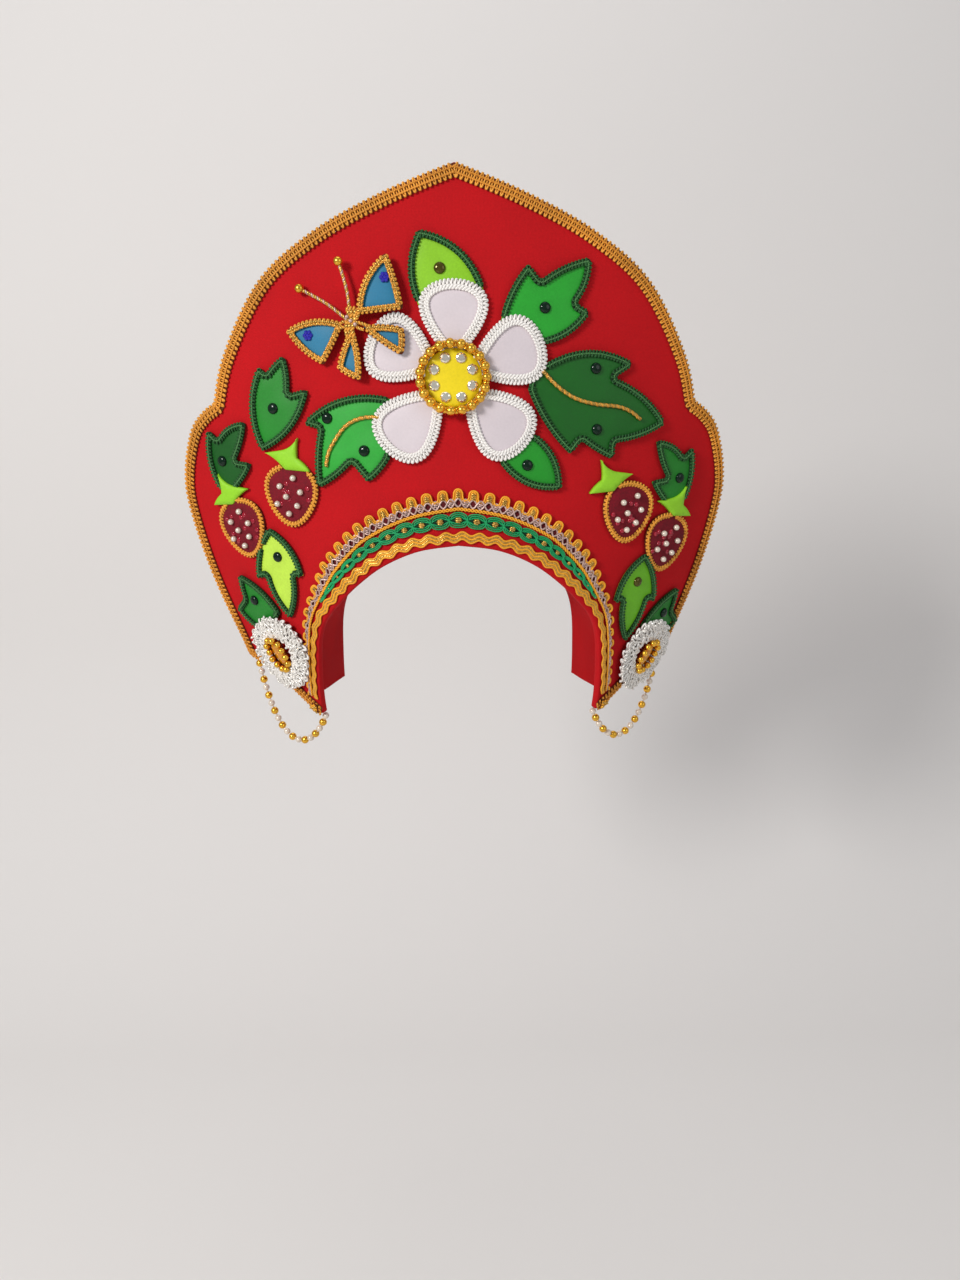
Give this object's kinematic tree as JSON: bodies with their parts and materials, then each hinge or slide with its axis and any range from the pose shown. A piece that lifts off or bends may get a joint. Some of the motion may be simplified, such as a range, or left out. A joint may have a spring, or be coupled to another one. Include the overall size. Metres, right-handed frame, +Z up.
{
  "type": "kokoshnik headdress",
  "caption": "Stiff cloth kokoshnik with a pointed crest and head band, braids, sewn-on flower, leaves, berries and butterfly, lace flowers and a bead string below each wing.",
  "frame": {"origin": "where the middle of the head band rests on the crown of the head, half way from front to back", "axes": "+Z up, -Y out of the face of the crest, +X to the right of someone who looks at the crest"},
  "size_m": [0.3184, 0.1128, 0.3182],
  "materials": {
    "red_cloth": "matte woven cloth",
    "edge_braid": "looped metallic braid",
    "gold_braid": "looped metallic braid",
    "green_braid": "looped braid",
    "zigzag_braid": "zigzag braid",
    "petal_satin": "satin",
    "crochet": "matte crochet",
    "disc_satin": "satin",
    "leaf_lime": "satin",
    "leaf_bright": "satin",
    "leaf_mid": "satin",
    "leaf_deep": "satin",
    "leaf_pale": "satin",
    "leaf_grass": "satin",
    "leaf_braid": "looped braid",
    "berry_velvet": "velvet",
    "calyx_satin": "satin",
    "wing_satin": "satin",
    "wing_braid": "looped metallic braid",
    "lace": "beaded crochet",
    "gold_bead": "metallised gloss",
    "string_bead": "pearl and gold gloss"
  },
  "bodies": {
    "root": {"crest_panel": "red_cloth", "head_band": "red_cloth", "edge_braid": "edge_braid", "arch_braid_gold": "gold_braid", "arch_braid_green": "green_braid", "arch_braid_zigzag": "zigzag_braid", "lace_flower_left": "lace", "lace_flower_right": "lace", "calyx_1": "calyx_satin", "calyx_2": "calyx_satin", "calyx_3": "calyx_satin", "calyx_4": "calyx_satin", "berry_1": "berry_velvet", "berry_2": "berry_velvet", "berry_3": "berry_velvet", "berry_4": "berry_velvet", "flower_disc": "disc_satin", "flower_bead_ring": "gold_bead", "petal_1": "petal_satin", "petal_2": "petal_satin", "petal_3": "petal_satin", "petal_4": "petal_satin", "petal_5": "petal_satin", "petal_trim_1": "crochet", "petal_trim_2": "crochet", "petal_trim_3": "crochet", "petal_trim_4": "crochet", "petal_trim_5": "crochet", "leaf_top": "leaf_lime", "leaf_upper_right": "leaf_bright", "leaf_right": "leaf_deep", "leaf_low_right": "leaf_bright", "leaf_left": "leaf_bright", "leaf_upper_left": "leaf_mid", "leaf_side_top_left": "leaf_deep", "leaf_side_top_right": "leaf_mid", "leaf_side_middle_left": "leaf_pale", "leaf_side_middle_right": "leaf_grass", "leaf_side_low_left": "leaf_mid", "leaf_side_low_right": "leaf_mid", "leaf_trim_top": "leaf_braid", "leaf_trim_upper_right": "leaf_braid", "leaf_trim_right": "leaf_braid", "leaf_trim_low_right": "leaf_braid", "leaf_trim_left": "leaf_braid", "leaf_trim_upper_left": "leaf_braid", "leaf_trim_side_top_left": "leaf_braid", "leaf_trim_side_top_right": "leaf_braid", "leaf_trim_side_middle_left": "leaf_braid", "leaf_trim_side_middle_right": "leaf_braid", "leaf_trim_side_low_left": "leaf_braid", "leaf_trim_side_low_right": "leaf_braid", "butterfly_wing_upper": "wing_satin", "butterfly_wing_left": "wing_satin", "butterfly_wing_right": "wing_satin", "butterfly_wing_lower": "wing_satin", "butterfly_trim": "wing_braid", "bead_string_left": "string_bead", "bead_string_right": "string_bead"}
  },
  "joints": []
}
